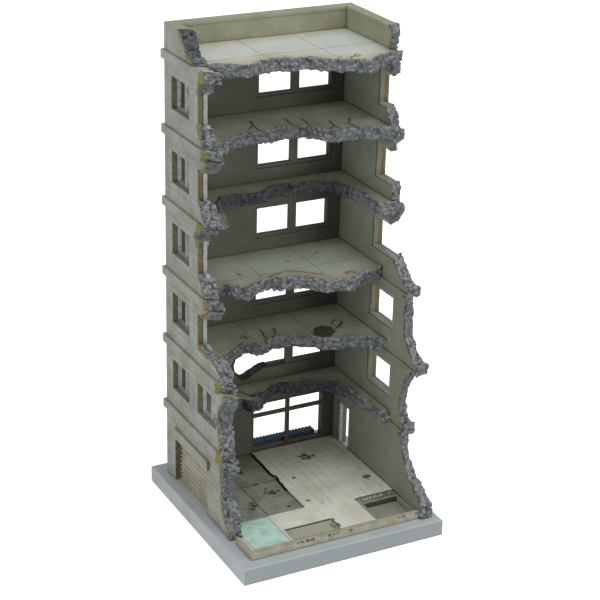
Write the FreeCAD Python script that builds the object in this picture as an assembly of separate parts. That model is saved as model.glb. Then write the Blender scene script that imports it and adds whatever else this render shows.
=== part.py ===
import FreeCAD, Part
import os
from FreeCAD import Vector

# Miniature terrain ruin: a six-storey corner building of about 1:150 scale, open at the front,
# with three walls, broken floor slabs and a flat roof. Each storey is a tray-like slab that
# carries its own walls and window frames and rests on the walls of the storey below.
# Own frame: +Z up, +X to the right and +Y to the rear, origin at the centre of the underside.

# ---------------------------------------------------------------- driving dimensions, mm
base_width = 67.0
base_depth = 68.6
base_height = 5.3
base_bevel = 0.35

building_width = 61.0
building_centre_x = 0.5
rear_face_y = 29.45           # outer face of the rear wall
wall = 3.1                    # thickness of every wall

ground_height = 25.5          # base top to the top of the first band
storey_height = 22.4          # band top to band top
band_height = 2.65
band_projection = 0.85        # how far a band stands out of the facade
ring_ledge = 0.6              # how far the ledge under a slab stands out inside the walls
floor_rise = 1.2              # floor surface above the band top
slab_thickness = 3.1
parapet_height = 8.0          # roof band top to the top of the parapet
coping_height = 1.0
coping_lip = 0.35

lip_depth = 0.6               # locating lip under a slab, inside the walls below
lip_gap = 0.1
lip_setback = 1.2             # the lip stops this far short of a broken end

outer_reveal = 1.6            # depth of the clean opening on the outside of a wall
rebate_margin = 0.6           # the frame's seat is wider than the opening by this much
frame_bar = 1.0
frame_depth = 1.2
frame_gap = 0.05
mullion = 1.1
rear_mullion = 2.6

first_storey = 2
last_storey = 6
roof_level = 7
overcut = 5.0                 # how far a cutting tool runs past the face it cuts

# ---------------------------------------------------------------- derived places
left_face = building_centre_x - building_width / 2
wall_height = storey_height - band_height
ground_wall_height = ground_height - band_height

# Openings: start and end along the wall, sill and head above the storey's band top. Places along
# a side wall are measured from the rear face towards the open front; places along the rear wall
# are measured from the left face.
left_windows = ((5.2, 17.4, 6.0, 15.8), (23.4, 36.2, 6.0, 15.8))
rear_window = (28.8, 53.9, 5.9, 15.2)
right_window = (24.3, 37.4, 6.2, 16.2)
shutter_opening = (6.6, 30.5, 0.0, 14.3)
storefront_opening = (28.6, 54.1, 1.7, 18.5)
storefront_transom = 14.0
door_opening = (6.9, 13.4, 0.0, 15.5)

# Broken front ends of the side walls at their inner faces, from the top down: the reach at the
# wall's top, the points between as (reach, height above the wall's foot), and the reach at its foot.
break_slant = 2.2             # the break runs back by this much from the inner to the outer face
ground_slants = {             # the same for the ground storey's walls, at each point from the top down
    "left": (5.6, 4.9, 1.1, -1.8, -1.6, 2.6, 3.5, 0.1),
    "right": (3.2, 3.1, 4.0, 3.6, 0.2, 0.0, 0.0),
}
left_breaks = {
    1: (45.4, ((44.8, 20.4), (41.4, 16.8), (38.9, 13.4), (39.2, 10.6), (43.4, 9.8), (45.5, 6.0)), 47.4),
    2: (44.2, ((43.7, 16.8), (40.4, 13.3), (39.8, 9.0), (40.8, 5.6)), 42.2),
    3: (34.0, ((32.5, 17.6), (28.4, 15.7), (25.7, 6.6), (27.8, 5.5), (37.8, 5.1), (40.4, 3.6)), 41.4),
    4: (25.2, ((24.2, 17.0), (25.6, 15.0), (25.7, 6.6), (26.9, 5.5), (29.0, 3.5)), 30.8),
    5: (32.0, ((30.6, 17.8), (28.2, 15.6), (25.7, 6.4), (27.6, 4.9), (29.6, 2.4)), 30.6),
    6: (27.4, ((26.6, 18.0), (25.6, 15.6), (25.8, 6.2), (26.4, 4.6), (28.2, 2.2)), 29.2),
}
right_breaks = {
    1: (46.8, ((47.6, 18.6), (49.9, 14.0), (52.2, 10.4), (56.0, 7.0), (60.2, 4.2)), 60.3),
    2: (51.0, ((48.0, 15.9), (45.8, 10.9), (44.9, 5.4), (45.6, 2.4)), 46.6),
    3: (45.4, ((45.7, 17.0), (45.3, 12.4), (45.9, 6.5), (48.8, 3.1)), 52.6),
    4: (37.0, ((33.8, 16.2), (36.8, 6.9), (38.4, 5.1), (40.9, 3.1), (43.4, 1.5)), 46.0),
    5: (31.6, ((32.4, 16.3), (33.8, 6.9), (34.9, 4.9), (35.1, 2.7)), 34.4),
    6: (31.9, ((31.0, 16.6), (29.4, 15.8), (29.0, 6.6), (30.7, 4.2), (31.7, 2.7)), 33.2),
}
left_parapet_break = (12.8, ((15.0, 6.4), (16.6, 4.2), (18.4, 1.6), (21.6, 1.2)), 22.4)
right_parapet_break = (29.2, ((31.0, 6.5), (30.4, 4.1), (29.6, 1.6)), 29.8)

# Broken front edges of the slabs, from the left wall to the right wall, as (place, reach).
slab_fronts = {
    2: ((3.1, 22.0), (10.0, 18.0), (17.0, 15.0), (20.0, 13.0), (21.4, 15.4), (25.4, 15.0), (27.4, 12.2),
        (32.7, 8.1), (35.9, 7.4), (42.1, 9.4), (48.5, 11.2), (52.4, 14.6), (54.3, 20.6), (54.1, 26.0),
        (55.8, 31.0), (55.0, 38.0), (57.9, 39.2)),
    3: ((3.1, 28.6), (10.8, 23.6), (17.0, 19.2), (18.8, 20.0), (22.4, 21.8), (27.4, 18.8), (32.0, 20.2),
        (36.0, 22.0), (38.6, 23.2), (41.0, 26.4), (44.6, 28.2), (49.0, 27.8), (54.6, 31.6), (57.9, 35.2)),
    4: ((3.1, 24.4), (8.4, 23.8), (11.2, 26.6), (13.6, 29.4), (16.8, 26.2), (23.2, 24.6), (25.8, 27.0),
        (29.0, 26.6), (33.8, 28.6), (37.6, 33.6), (41.0, 34.1), (44.0, 35.4), (50.0, 32.6), (57.9, 29.8)),
    5: ((3.1, 27.8), (7.4, 26.5), (7.6, 22.4), (9.4, 16.0), (13.0, 11.4), (18.0, 10.3), (22.0, 12.2),
        (26.2, 12.0), (32.0, 8.2), (39.6, 9.4), (46.4, 9.3), (50.4, 11.8), (52.6, 18.0), (53.9, 26.0),
        (53.6, 35.0), (57.9, 36.2)),
    6: ((3.1, 27.6), (10.0, 23.6), (16.4, 21.2), (20.2, 22.5), (24.0, 22.2), (26.9, 20.0), (31.6, 20.8),
        (35.0, 22.0), (37.0, 25.2), (40.4, 29.8), (44.0, 29.4), (48.5, 29.0), (53.8, 31.8), (57.9, 35.0)),
    7: ((3.1, 25.2), (8.4, 26.4), (12.4, 30.0), (18.0, 26.8), (22.8, 25.8), (27.4, 27.8), (32.2, 28.8),
        (36.0, 32.4), (42.4, 35.6), (46.8, 38.0), (51.8, 34.4), (57.9, 31.6)),
}
# Broken ends of each slab's ring under the side walls: reach at the outer edge and at the inner edge.
left_ring_ends = {2: (39.4, 42.4), 3: (38.5, 41.6), 4: (29.6, 33.0), 5: (25.0, 28.8), 6: (28.0, 32.0),
                  7: (27.0, 29.6)}
right_ring_ends = {2: (46.9, 47.6), 3: (52.6, 53.4), 4: (45.6, 46.4), 5: (34.2, 36.4), 6: (32.4, 35.2),
                   7: (29.1, 31.8)}

# The hole blown through the rear wall of the second storey, as (place, height above the band top).
rear_hole_end = 39.9
rear_hole = ((rear_hole_end, 7.8), (36.8, 6.4), (31.5, 5.6), (27.3, 3.7), (25.1, 2.6), (21.6, 6.0),
             (21.3, 8.6), (23.0, 12.2), (26.4, 15.6), (30.6, 17.6), (36.4, 17.9), (rear_hole_end, 16.8))
# The corner of the second floor that has cracked and hangs down into the ground storey.
hanging_corner = ((20.2, 12.5), (26.6, 11.5), (25.4, 15.8), (21.4, 16.8))
hanging_corner_hinge = 12.0
hanging_corner_tilt = 8.0     # degrees
hanging_corner_thickness = 2.2

# Ground floor tray
floor_height = 1.5            # tiled floor above the base
tray_front = 60.0
tray_left = 0.6               # the tray reaches in front of the broken left wall
tray_shoulder = 49.4
kerb_width = 2.2
kerb_side_width = 1.3
kerb_rise = 0.5
garage_floor = (3.1, 27.5, 3.1, 41.3, 0.5)      # left, right, rear, front, depth below the tiles
front_recess = (16.0, 31.4, 50.8, 57.8, 0.45)
pit_rim = (43.9, 57.9, 43.6, 57.8, 0.45)
pit_floor = (45.2, 57.0, 46.8, 56.6, 2.2)
pit_skin = 0.5                # floor and walls of the pit where it drops into the base plate
pit_clearance = 0.1

shutter_thickness = 0.7
shutter_slat_pitch = 1.65
shutter_slat_groove = 0.2
shutter_slot = (6.8, 8.2)     # start and end of the slots along the curtain's rear edge
shutter_slot_pitch = 1.41
shutter_slot_height = 0.75
shutter_slot_foot = 0.6

hood_projection = 1.0
hood_reach = (7.2, 32.0)
hood_height = (15.9, 18.9)

step_place = (30.0, 52.9)
step_depth = 3.2
step_height = 3.0
step_rib_pitch = 1.2
step_groove = 0.5
step_groove_depth = 0.3


# ---------------------------------------------------------------- small helpers
def y_at(reach):
    """The y place of a distance from the rear face towards the open front."""
    return rear_face_y - reach


def x_at(place):
    """The x place of a distance from the left face."""
    return left_face + place


def band_top(level):
    """Height of the top of the band at a level, 2 for the second floor."""
    return base_height + ground_height + storey_height * (level - first_storey)


def block(place, reach, height):
    """A box from ranges along the width, the depth and the height."""
    size = (place[1] - place[0], reach[1] - reach[0], height[1] - height[0])
    return Part.makeBox(*size, Vector(x_at(place[0]), y_at(reach[1]), height[0]))


def prism(points, travel):
    """A closed outline of vectors, swept along a vector."""
    return flat_face(points).extrude(travel)


def flat_face(points):
    return Part.Face(Part.makePolygon(list(points) + [points[0]]))


def ruled_solid(near, far):
    """A solid between two flat outlines with matching corners, with flat triangles along its sides."""
    faces = [flat_face(near), flat_face(far)]
    for index, corner in enumerate(near):
        following = (index + 1) % len(near)
        faces.append(flat_face((corner, near[following], far[following])))
        faces.append(flat_face((corner, far[following], far[index])))
    shell = Part.Shell(faces)
    shell.sewShape()
    solid = Part.Solid(shell)
    if solid.Volume < 0:
        solid.reverse()
    return solid.removeSplitter()


def plan_plate(outline, bottom, top):
    """A plate with an outline in plan, given as (place, reach) pairs."""
    points = [Vector(x_at(place), y_at(reach), bottom) for place, reach in outline]
    return prism(points, Vector(0, 0, top - bottom))


def side_prism(outline, foot, place, width=wall):
    """A plate with a side outline of (reach, height) pairs, from a place to place + width."""
    points = [Vector(x_at(place), y_at(reach), foot + height) for reach, height in outline]
    return prism(points, Vector(width, 0, 0))


def rear_prism(outline, foot, reach, depth):
    """A plate with a rear-wall outline of (place, height) pairs, from a reach to reach + depth."""
    points = [Vector(x_at(place), y_at(reach), foot + height) for place, height in outline]
    return prism(points, Vector(0, -depth, 0))


def rectangle(start, end, low, high):
    return ((start, low), (end, low), (end, high), (start, high))


def grown(opening, margin):
    start, end, sill, head = opening
    return (start - margin, end + margin, sill - margin, head + margin)


def broken_side(side, height, foot, rupture):
    """A plain side wall from its rear end to its broken front end, whose inner and outer edges differ."""
    top_reach, points, foot_reach = rupture
    edge = ((top_reach, height),) + points + ((foot_reach, 0),)
    slants = ground_slants[side] if foot == base_height else (break_slant,) * len(edge)
    inner, outer = (wall, 0) if side == "left" else (building_width - wall, building_width)
    near = [Vector(x_at(inner), y_at(reach), foot + rise) for reach, rise in ((0, 0), (0, height)) + edge]
    far = [Vector(x_at(outer), point.y + slant, point.z) for point, slant in zip(near, (0, 0) + slants)]
    return ruled_solid(near, far)


# ---------------------------------------------------------------- walls and their openings
def side_seat_place(side):
    """Where the inner half of a side wall starts, from the left face."""
    return outer_reveal if side == "left" else building_width - wall


def side_opening_tools(opening, foot, side):
    """The through opening and the wider seat of a window frame in a side wall."""
    start = -overcut if side == "left" else building_width - wall - overcut
    through = side_prism(rectangle(*opening), foot, start, wall + 2 * overcut)
    seat_depth = wall - outer_reveal
    seat = side_prism(rectangle(*grown(opening, rebate_margin)), foot, side_seat_place(side), seat_depth)
    return [through, seat]


def side_frame(opening, foot, side, has_mullion):
    """A window frame that sits in the seat in the inner half of a side wall."""
    start, end, sill, head = opening
    place = outer_reveal if side == "left" else building_width - outer_reveal - frame_depth
    rim = side_prism(rectangle(*grown(opening, rebate_margin - frame_gap)), foot, place, frame_depth)
    light = grown(opening, rebate_margin - frame_bar)
    frame = rim.cut(side_prism(rectangle(*light), foot, place - overcut, frame_depth + 2 * overcut))
    if has_mullion:
        middle = (start + end) / 2
        bar = rectangle(middle - mullion / 2, middle + mullion / 2, sill, head)
        frame = frame.fuse(side_prism(bar, foot, place, frame_depth)).removeSplitter()
    return frame


def side_wall(side, height, foot, rupture, openings):
    body = broken_side(side, height, foot, rupture)
    for opening in openings:
        for tool in side_opening_tools(opening, foot, side):
            body = body.cut(tool)
    return body


def rear_wall(height, foot, opening):
    outline = rectangle(wall, building_width - wall, 0, height)
    body = rear_prism(outline, foot, 0, wall)
    body = body.cut(rear_prism(rectangle(*opening), foot, -overcut, wall + 2 * overcut))
    seat = rectangle(*grown(opening, rebate_margin))
    return body.cut(rear_prism(seat, foot, outer_reveal, wall - outer_reveal))


def rear_frame(opening, foot, middle_bar, transom=None):
    """A frame in the seat of the rear wall, with a middle bar and sometimes a transom."""
    start, end, sill, head = opening
    rim = rear_prism(rectangle(*grown(opening, rebate_margin - frame_gap)), foot, outer_reveal, frame_depth)
    light = grown(opening, rebate_margin - frame_bar)
    frame = rim.cut(rear_prism(rectangle(*light), foot, -overcut, wall + 2 * overcut))
    middle = (start + end) / 2
    bars = [rectangle(middle - middle_bar / 2, middle + middle_bar / 2, sill, head)]
    if transom is not None:
        bars.append(rectangle(start, end, transom - frame_bar / 2, transom + frame_bar / 2))
    for bar in bars:
        frame = frame.fuse(rear_prism(bar, foot, outer_reveal, frame_depth))
    return frame.removeSplitter()


# ---------------------------------------------------------------- slabs
def ring_outline(level, inner):
    """The plan of a slab's ring under the three walls, with its two broken ends."""
    left_outer, left_inner = left_ring_ends[level]
    right_outer, right_inner = right_ring_ends[level]
    far = building_width + band_projection
    return ((-band_projection, -band_projection), (far, -band_projection), (far, right_outer),
            (building_width - inner, right_inner), (building_width - inner, inner), (inner, inner),
            (inner, left_inner), (-band_projection, left_outer))


def slab_ring(level):
    """The part of a slab under the walls: it is the band outside and a narrow ledge inside."""
    top = band_top(level)
    ledge_top = top + floor_rise - slab_thickness
    upper = plan_plate(ring_outline(level, wall), ledge_top, top)
    lower = plan_plate(ring_outline(level, wall + ring_ledge), top - band_height, ledge_top)
    return upper.fuse(lower)


def slab_plate(level):
    """The floor plate inside the walls, with its broken front edge."""
    top = band_top(level) + floor_rise
    outline = ((wall, wall),) + slab_fronts[level] + ((building_width - wall, wall),)
    return plan_plate(outline, top - slab_thickness, top)


def slab_lip(level):
    """The locating lip that drops just inside the walls of the storey below."""
    top = band_top(level) - band_height
    outer = wall + lip_gap
    inner = wall + ring_ledge
    height = (top - lip_depth, top)
    left_end = min(left_ring_ends[level][1], left_breaks[level - 1][0]) - lip_setback
    right_end = min(right_ring_ends[level][1], right_breaks[level - 1][0]) - lip_setback
    lip = block((outer, building_width - outer), (outer, inner), height)
    lip = lip.fuse(block((outer, inner), (outer, left_end), height))
    return lip.fuse(block((building_width - inner, building_width - outer), (outer, right_end), height))


def hanging_piece():
    """The cracked corner of the second floor, tilted down towards the front."""
    top = band_top(first_storey) + floor_rise
    piece = plan_plate(hanging_corner, top - hanging_corner_thickness, top)
    hinge = Vector(0, y_at(hanging_corner_hinge), top)
    piece.rotate(hinge, Vector(1, 0, 0), hanging_corner_tilt)
    return piece


def slab(level):
    body = slab_ring(level).fuse(slab_plate(level)).fuse(slab_lip(level))
    if level == first_storey:
        body = body.fuse(hanging_piece())
    return body.removeSplitter()


# ---------------------------------------------------------------- ground storey
def pit_well(margin):
    """The part of the pit below the base plate's top, grown by a margin."""
    left, right, rear, front, depth = pit_floor
    bottom = base_height + floor_height - depth - margin
    return block((left - margin, right + margin), (rear - margin, front + margin), (bottom, base_height))


def base_plate():
    """The square plate, with a pocket that takes the pit of the floor tray."""
    corner = Vector(-base_width / 2, -base_depth / 2, 0)
    plate = Part.makeBox(base_width, base_depth, base_height, corner)
    top_edges = [edge for edge in plate.Edges if edge.BoundBox.ZMin > base_height / 2]
    plate = plate.makeChamfer(base_bevel, top_edges)
    return plate.cut(pit_well(pit_skin + pit_clearance))


def ground_floor():
    """The floor tray: tiles, a lower garage floor, a sunken pit and a kerb along the open front."""
    tiles = base_height + floor_height
    kerb = tiles + kerb_rise
    outline = ((wall, wall), (building_width - wall, wall), (building_width - wall, tray_front),
               (tray_left, tray_front), (tray_left, tray_shoulder), (wall, tray_shoulder))
    tray = plan_plate(outline, base_height, tiles)
    rim = block((tray_left, building_width - wall), (tray_front - kerb_width, tray_front), (tiles, kerb))
    side_rim = (tray_left, tray_left + kerb_side_width)
    rim = rim.fuse(block(side_rim, (tray_shoulder, tray_front), (tiles, kerb)))
    tray = tray.fuse(rim).fuse(pit_well(pit_skin))
    for left, right, rear, front, depth in (garage_floor, front_recess, pit_rim, pit_floor):
        tray = tray.cut(block((left, right), (rear, front), (tiles - depth, tiles)))
    return tray.removeSplitter()


def roller_shutter():
    """The shutter curtain in its seat, with grooves between its slats and slots along one edge."""
    start, end, foot, head = shutter_opening
    outline = rectangle(start - rebate_margin, end + rebate_margin, foot, head + rebate_margin)
    curtain = side_prism(outline, base_height, outer_reveal, shutter_thickness)
    height = foot + shutter_slat_pitch
    while height < head:
        groove = rectangle(start, end, height - shutter_slat_groove / 2, height + shutter_slat_groove / 2)
        curtain = curtain.cut(side_prism(groove, base_height, outer_reveal - overcut,
                                         overcut + shutter_slat_groove))
        height += shutter_slat_pitch
    height = foot + shutter_slot_foot
    while height + shutter_slot_height < head:
        slot = rectangle(*shutter_slot, height, height + shutter_slot_height)
        curtain = curtain.cut(side_prism(slot, base_height, outer_reveal - overcut, wall + 2 * overcut))
        height += shutter_slot_pitch
    return curtain


def shutter_hood():
    """The beam over the shutter, planted on the outer face of the wall."""
    low, high = hood_height
    return block((-hood_projection, 0), hood_reach, (base_height + low, base_height + high))


def ground_wall_left():
    start, end, foot, head = shutter_opening
    body = side_wall("left", ground_wall_height, base_height, left_breaks[1], [])
    body = body.cut(side_prism(rectangle(*shutter_opening), base_height, -overcut, overcut + outer_reveal))
    seat = rectangle(start - rebate_margin, end + rebate_margin, foot, head + rebate_margin)
    return body.cut(side_prism(seat, base_height, outer_reveal, shutter_thickness))


def door_frame():
    """The frame of the side door: two posts and a head, open at the floor."""
    start, end, foot, head = door_opening
    place = building_width - outer_reveal - frame_depth
    margin = rebate_margin - frame_gap
    rim = side_prism(rectangle(start - margin, end + margin, foot, head + margin), base_height, place,
                     frame_depth)
    inset = frame_bar - rebate_margin
    light = rectangle(start + inset, end - inset, foot - overcut, head - inset)
    return rim.cut(side_prism(light, base_height, place - overcut, frame_depth + 2 * overcut))


def shop_step():
    """A low ribbed step along the shop front, outside the rear wall."""
    step = block(step_place, (-step_depth, 0), (base_height, base_height + step_height))
    top = base_height + step_height
    place = step_place[0] + step_rib_pitch
    while place + step_groove < step_place[1]:
        groove = block((place, place + step_groove), (-step_depth - overcut, overcut),
                       (top - step_groove_depth, top + overcut))
        step = step.cut(groove)
        place += step_rib_pitch
    return step


# ---------------------------------------------------------------- roof parapets
def side_parapet(side, rupture):
    """A side parapet: an upright with a coping that stands proud on the inside."""
    foot = band_top(roof_level)
    top = foot + parapet_height
    upright = broken_side(side, parapet_height, foot, rupture)
    start = wall if side == "left" else building_width - wall - coping_lip
    lip = block((start, start + coping_lip), (wall + coping_lip, rupture[0]), (top - coping_height, top))
    return upright.fuse(lip).removeSplitter()


def rear_parapet():
    foot = band_top(roof_level)
    top = foot + parapet_height
    upright = block((wall, building_width - wall), (0, wall), (foot, top))
    lip = block((wall, building_width - wall), (wall, wall + coping_lip), (top - coping_height, top))
    return upright.fuse(lip).removeSplitter()


# ---------------------------------------------------------------- the assembly
def storey(level):
    """Every piece of one upper storey, by name."""
    foot = band_top(level)
    left_zone = broken_side("left", wall_height, foot, left_breaks[level])
    right_zone = broken_side("right", wall_height, foot, right_breaks[level])
    rear = rear_wall(wall_height, foot, rear_window)
    rear_window_frame = rear_frame(rear_window, foot, rear_mullion)
    if level == first_storey:
        rear = rear.cut(rear_prism(rear_hole, foot, -overcut, wall + 2 * overcut))
        lost_part = rectangle(0, rear_hole_end, 0, wall_height)
        rear_window_frame = rear_window_frame.cut(rear_prism(lost_part, foot, 0, wall))
    rear_left_window, front_left_window = left_windows
    number = str(level)
    return {
        "floor_slab_" + number: slab(level),
        "wall_left_" + number: side_wall("left", wall_height, foot, left_breaks[level], left_windows),
        "wall_rear_" + number: rear,
        "wall_right_" + number: side_wall("right", wall_height, foot, right_breaks[level],
                                          [right_window]),
        "window_left_rear_" + number: side_frame(rear_left_window, foot, "left", True),
        "window_left_front_" + number: side_frame(front_left_window, foot, "left", True).common(left_zone),
        "window_rear_" + number: rear_window_frame,
        "window_right_" + number: side_frame(right_window, foot, "right", False).common(right_zone),
    }


def ground_storey():
    return {
        "base_plate": base_plate(),
        "ground_floor": ground_floor(),
        "ground_wall_left": ground_wall_left(),
        "ground_wall_rear": rear_wall(ground_wall_height, base_height, storefront_opening),
        "ground_wall_right": side_wall("right", ground_wall_height, base_height, right_breaks[1],
                                       [door_opening]),
        "roller_shutter": roller_shutter(),
        "shutter_hood": shutter_hood(),
        "storefront_frame": rear_frame(storefront_opening, base_height, mullion,
                                       storefront_transom),
        "side_door_frame": door_frame(),
        "shop_step": shop_step(),
    }


def roof():
    return {
        "roof_slab": slab(roof_level),
        "parapet_left": side_parapet("left", left_parapet_break),
        "parapet_rear": rear_parapet(),
        "parapet_right": side_parapet("right", right_parapet_break),
    }


def all_pieces():
    pieces = ground_storey()
    for level in range(first_storey, last_storey + 1):
        pieces.update(storey(level))
    pieces.update(roof())
    return pieces


os.makedirs("parts", exist_ok=True)
for name, shape in all_pieces().items():
    shape.exportStep("parts/" + name + ".step")
    print(name, shape.ShapeType, len(shape.Solids), round(shape.Volume, 2), shape.isValid())
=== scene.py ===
import math
import bmesh
import bpy
import numpy as np
import openvdb
from mathutils import Matrix, Vector


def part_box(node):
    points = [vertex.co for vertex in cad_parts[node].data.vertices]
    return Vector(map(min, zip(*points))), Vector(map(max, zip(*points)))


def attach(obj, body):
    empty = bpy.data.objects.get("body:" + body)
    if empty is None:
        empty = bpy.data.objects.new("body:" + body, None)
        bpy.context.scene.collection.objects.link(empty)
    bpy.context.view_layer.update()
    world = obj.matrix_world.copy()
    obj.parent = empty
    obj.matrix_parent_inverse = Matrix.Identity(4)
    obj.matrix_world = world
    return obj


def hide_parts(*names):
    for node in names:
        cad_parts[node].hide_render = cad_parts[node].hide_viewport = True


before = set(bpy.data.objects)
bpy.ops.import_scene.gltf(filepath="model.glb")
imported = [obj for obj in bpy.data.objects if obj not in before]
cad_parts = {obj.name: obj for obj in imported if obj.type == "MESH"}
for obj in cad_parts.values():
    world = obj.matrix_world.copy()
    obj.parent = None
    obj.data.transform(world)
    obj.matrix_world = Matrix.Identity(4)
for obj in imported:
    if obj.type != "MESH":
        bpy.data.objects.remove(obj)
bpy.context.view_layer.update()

# The frame is in metres. Shapes here are worked out in millimetres and made at this scale.
MM = 0.001

SEED = 41
FIRST_STOREY = 2
LAST_STOREY = 6
ROOF_LEVEL = 7


# -------- places, from the frame
def low(node):
    return np.array(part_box(node)[0]) / MM


def high(node):
    return np.array(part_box(node)[1]) / MM


LEFT_FACE = low("wall_left_3")[0]
RIGHT_FACE = high("wall_right_3")[0]
REAR_FACE = high("wall_rear_3")[1]
WALL = high("wall_left_3")[0] - LEFT_FACE
BASE_TOP = high("base_plate")[2]
KERB_TOP = high("ground_floor")[2]
KERB_RISE = 0.5
TILE_TOP = KERB_TOP - KERB_RISE


def at(place, reach, height):
    """A point from its distance to the left face, its distance to the rear face and its height."""
    return np.array([LEFT_FACE + place, REAR_FACE - reach, height])


def floor_top(level):
    """Height of the floor surface of a storey's slab."""
    return high("roof_slab" if level == ROOF_LEVEL else f"floor_slab_{level}")[2]


# -------- seeded noise on arrays
TABLE_SIZE = 4096
HASH_PRIMES = np.array([73856093, 19349663, 83492791])


def lattice(cells, table):
    return table[np.bitwise_xor.reduce(cells * HASH_PRIMES, axis=-1) & (TABLE_SIZE - 1)]


def smooth_noise(points, size, seed):
    """Smooth noise from -1 to 1 with features of a size in millimetres."""
    table = np.random.default_rng(SEED + seed).uniform(-1, 1, TABLE_SIZE)
    scaled = points / size
    cells = np.floor(scaled).astype(np.int64)
    part = scaled - cells
    part = part * part * (3 - 2 * part)
    total = np.zeros(len(points))
    for corner in np.ndindex(2, 2, 2):
        share = np.prod(np.where(corner, part, 1 - part), axis=1)
        total += share * lattice(cells + corner, table)
    return total


def pebble_noise(points, size, seed):
    """Rounded lumps: 1 at the middle of a lump and towards 0 in the gaps between lumps."""
    table = np.random.default_rng(SEED + seed).uniform(-0.45, 0.45, (TABLE_SIZE, 3))
    scaled = points / size
    cells = np.floor(scaled).astype(np.int64)
    nearest = np.full(len(points), 9.0)
    for step in np.ndindex(2, 2, 2):
        cell = cells + step
        offset = scaled - cell - lattice(cell, table)
        nearest = np.minimum(nearest, np.einsum("ij,ij->i", offset, offset))
    return np.clip(1 - nearest, 0, 1)


# -------- reading a CAD node
class Solid:
    """A CAD node's triangles in millimetres, and which of them are broken faces."""

    def __init__(self, node):
        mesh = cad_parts[node].data
        mesh.calc_loop_triangles()
        self.points = np.array([vertex.co for vertex in mesh.vertices]) / MM
        self.triangles = np.array([triangle.vertices[:] for triangle in mesh.loop_triangles])
        self.corners = corners = self.points[self.triangles]
        normal = np.cross(corners[:, 1] - corners[:, 0], corners[:, 2] - corners[:, 0])
        self.normals = normal / np.linalg.norm(normal, axis=1)[:, None]
        front = front_zone(node)
        self.broken = np.array([is_broken(normal, y, "slab" in node, front)
                                for normal, y in zip(self.normals, corners[:, :, 1].mean(axis=1))])


SQUARE_FACE = 0.9996          # a clean face looks along an axis, and a broken one never quite does
SLAB_EDGE_TILT = 0.5          # a slab's broken faces stand almost upright, at its open front
FRONT_ZONE = 0.6              # a square face this close to a side wall's front end is broken too


def front_zone(node):
    """How far back the front end of a side wall reaches; other nodes have none."""
    return low(node)[1] + FRONT_ZONE if "wall_left" in node or "wall_right" in node else -math.inf


def is_broken(normal, y, slab, front):
    square = max(abs(value) for value in normal) > SQUARE_FACE
    forward = normal[1] < -SLAB_EDGE_TILT
    if slab:
        return abs(normal[2]) < SLAB_EDGE_TILT and (not square or forward)
    return not square or (forward and y < front)


def segment_distance(points, start, end):
    along = end - start
    share = np.clip(((points - start) @ along) / (along @ along), 0, 1)
    return np.linalg.norm(points - (start + share[:, None] * along), axis=1)


def triangle_distance(points, corners):
    """Distance from each point to one triangle."""
    a, b, c = corners
    normal = np.cross(b - a, c - a)
    normal = normal / np.linalg.norm(normal)
    height = (points - a) @ normal
    flat = points - height[:, None] * normal
    inside = np.ones(len(points), bool)
    for start, end in ((a, b), (b, c), (c, a)):
        inside &= np.cross(end - start, flat - start) @ normal >= 0
    edges = np.minimum(segment_distance(points, a, b), segment_distance(points, b, c))
    edges = np.minimum(edges, segment_distance(points, c, a))
    return np.where(inside, np.abs(height), edges)


FAR = 60.0                    # stands for a face with no broken edge anywhere near


def break_distance(points, solid):
    distance = np.full(len(points), FAR)
    for corners in solid.corners[solid.broken]:
        distance = np.minimum(distance, triangle_distance(points, corners))
    return distance


# -------- building one piece from parts
class Piece:
    """Gathers parts in millimetres and makes one Blender object of them."""

    def __init__(self, name, materials):
        self.name = name
        self.materials = materials
        self.points, self.faces, self.slots = [], [], []
        self.wear, self.tone, self.line = [], [], []
        self.count = 0

    def add(self, points, faces, material, wear=None, tone=None, line=None):
        points = np.asarray(points, float).reshape(-1, 3)
        self.points.append(points)
        self.faces += [[self.count + index for index in face] for face in faces]
        slots = material if isinstance(material, list) else [material] * len(faces)
        self.slots += slots
        self.wear.append(np.full(len(points), FAR) if wear is None else wear)
        self.tone.append(np.full(len(points), 0.5) if tone is None else tone)
        self.line.append(np.zeros(len(points)) if line is None else line)
        self.count += len(points)

    def make(self, body, nodes):
        mesh = bpy.data.meshes.new(self.name)
        mesh.from_pydata((np.concatenate(self.points) * MM).tolist(), [], self.faces)
        for material in self.materials:
            mesh.materials.append(material)
        order = {material.name: index for index, material in enumerate(self.materials)}
        mesh.polygons.foreach_set("material_index", [order[material.name] for material in self.slots])
        for label, values in (("wear", self.wear), ("tone", self.tone), ("line", self.line)):
            attribute = mesh.attributes.new(label, "FLOAT", "POINT")
            attribute.data.foreach_set("value", np.concatenate(values).astype(np.float32))
        mesh.update()
        piece = bpy.data.objects.new(self.name, mesh)
        bpy.context.scene.collection.objects.link(piece)
        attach(piece, body)
        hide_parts(*nodes)
        return piece


# -------- the clean part of a node
EDGE_ROUNDING = 0.12
ROUNDED_ANGLE = math.radians(40)   # edges sharper than this are rounded
FLAT_ANGLE = math.radians(0.4)     # and triangles flatter than this are one face
SAME_POINT = 0.001
CLEAN_GRID = 1.6
SCORE_HALF_WIDTH = 0.13
SCORE_DEPTH = 0.22


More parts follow.
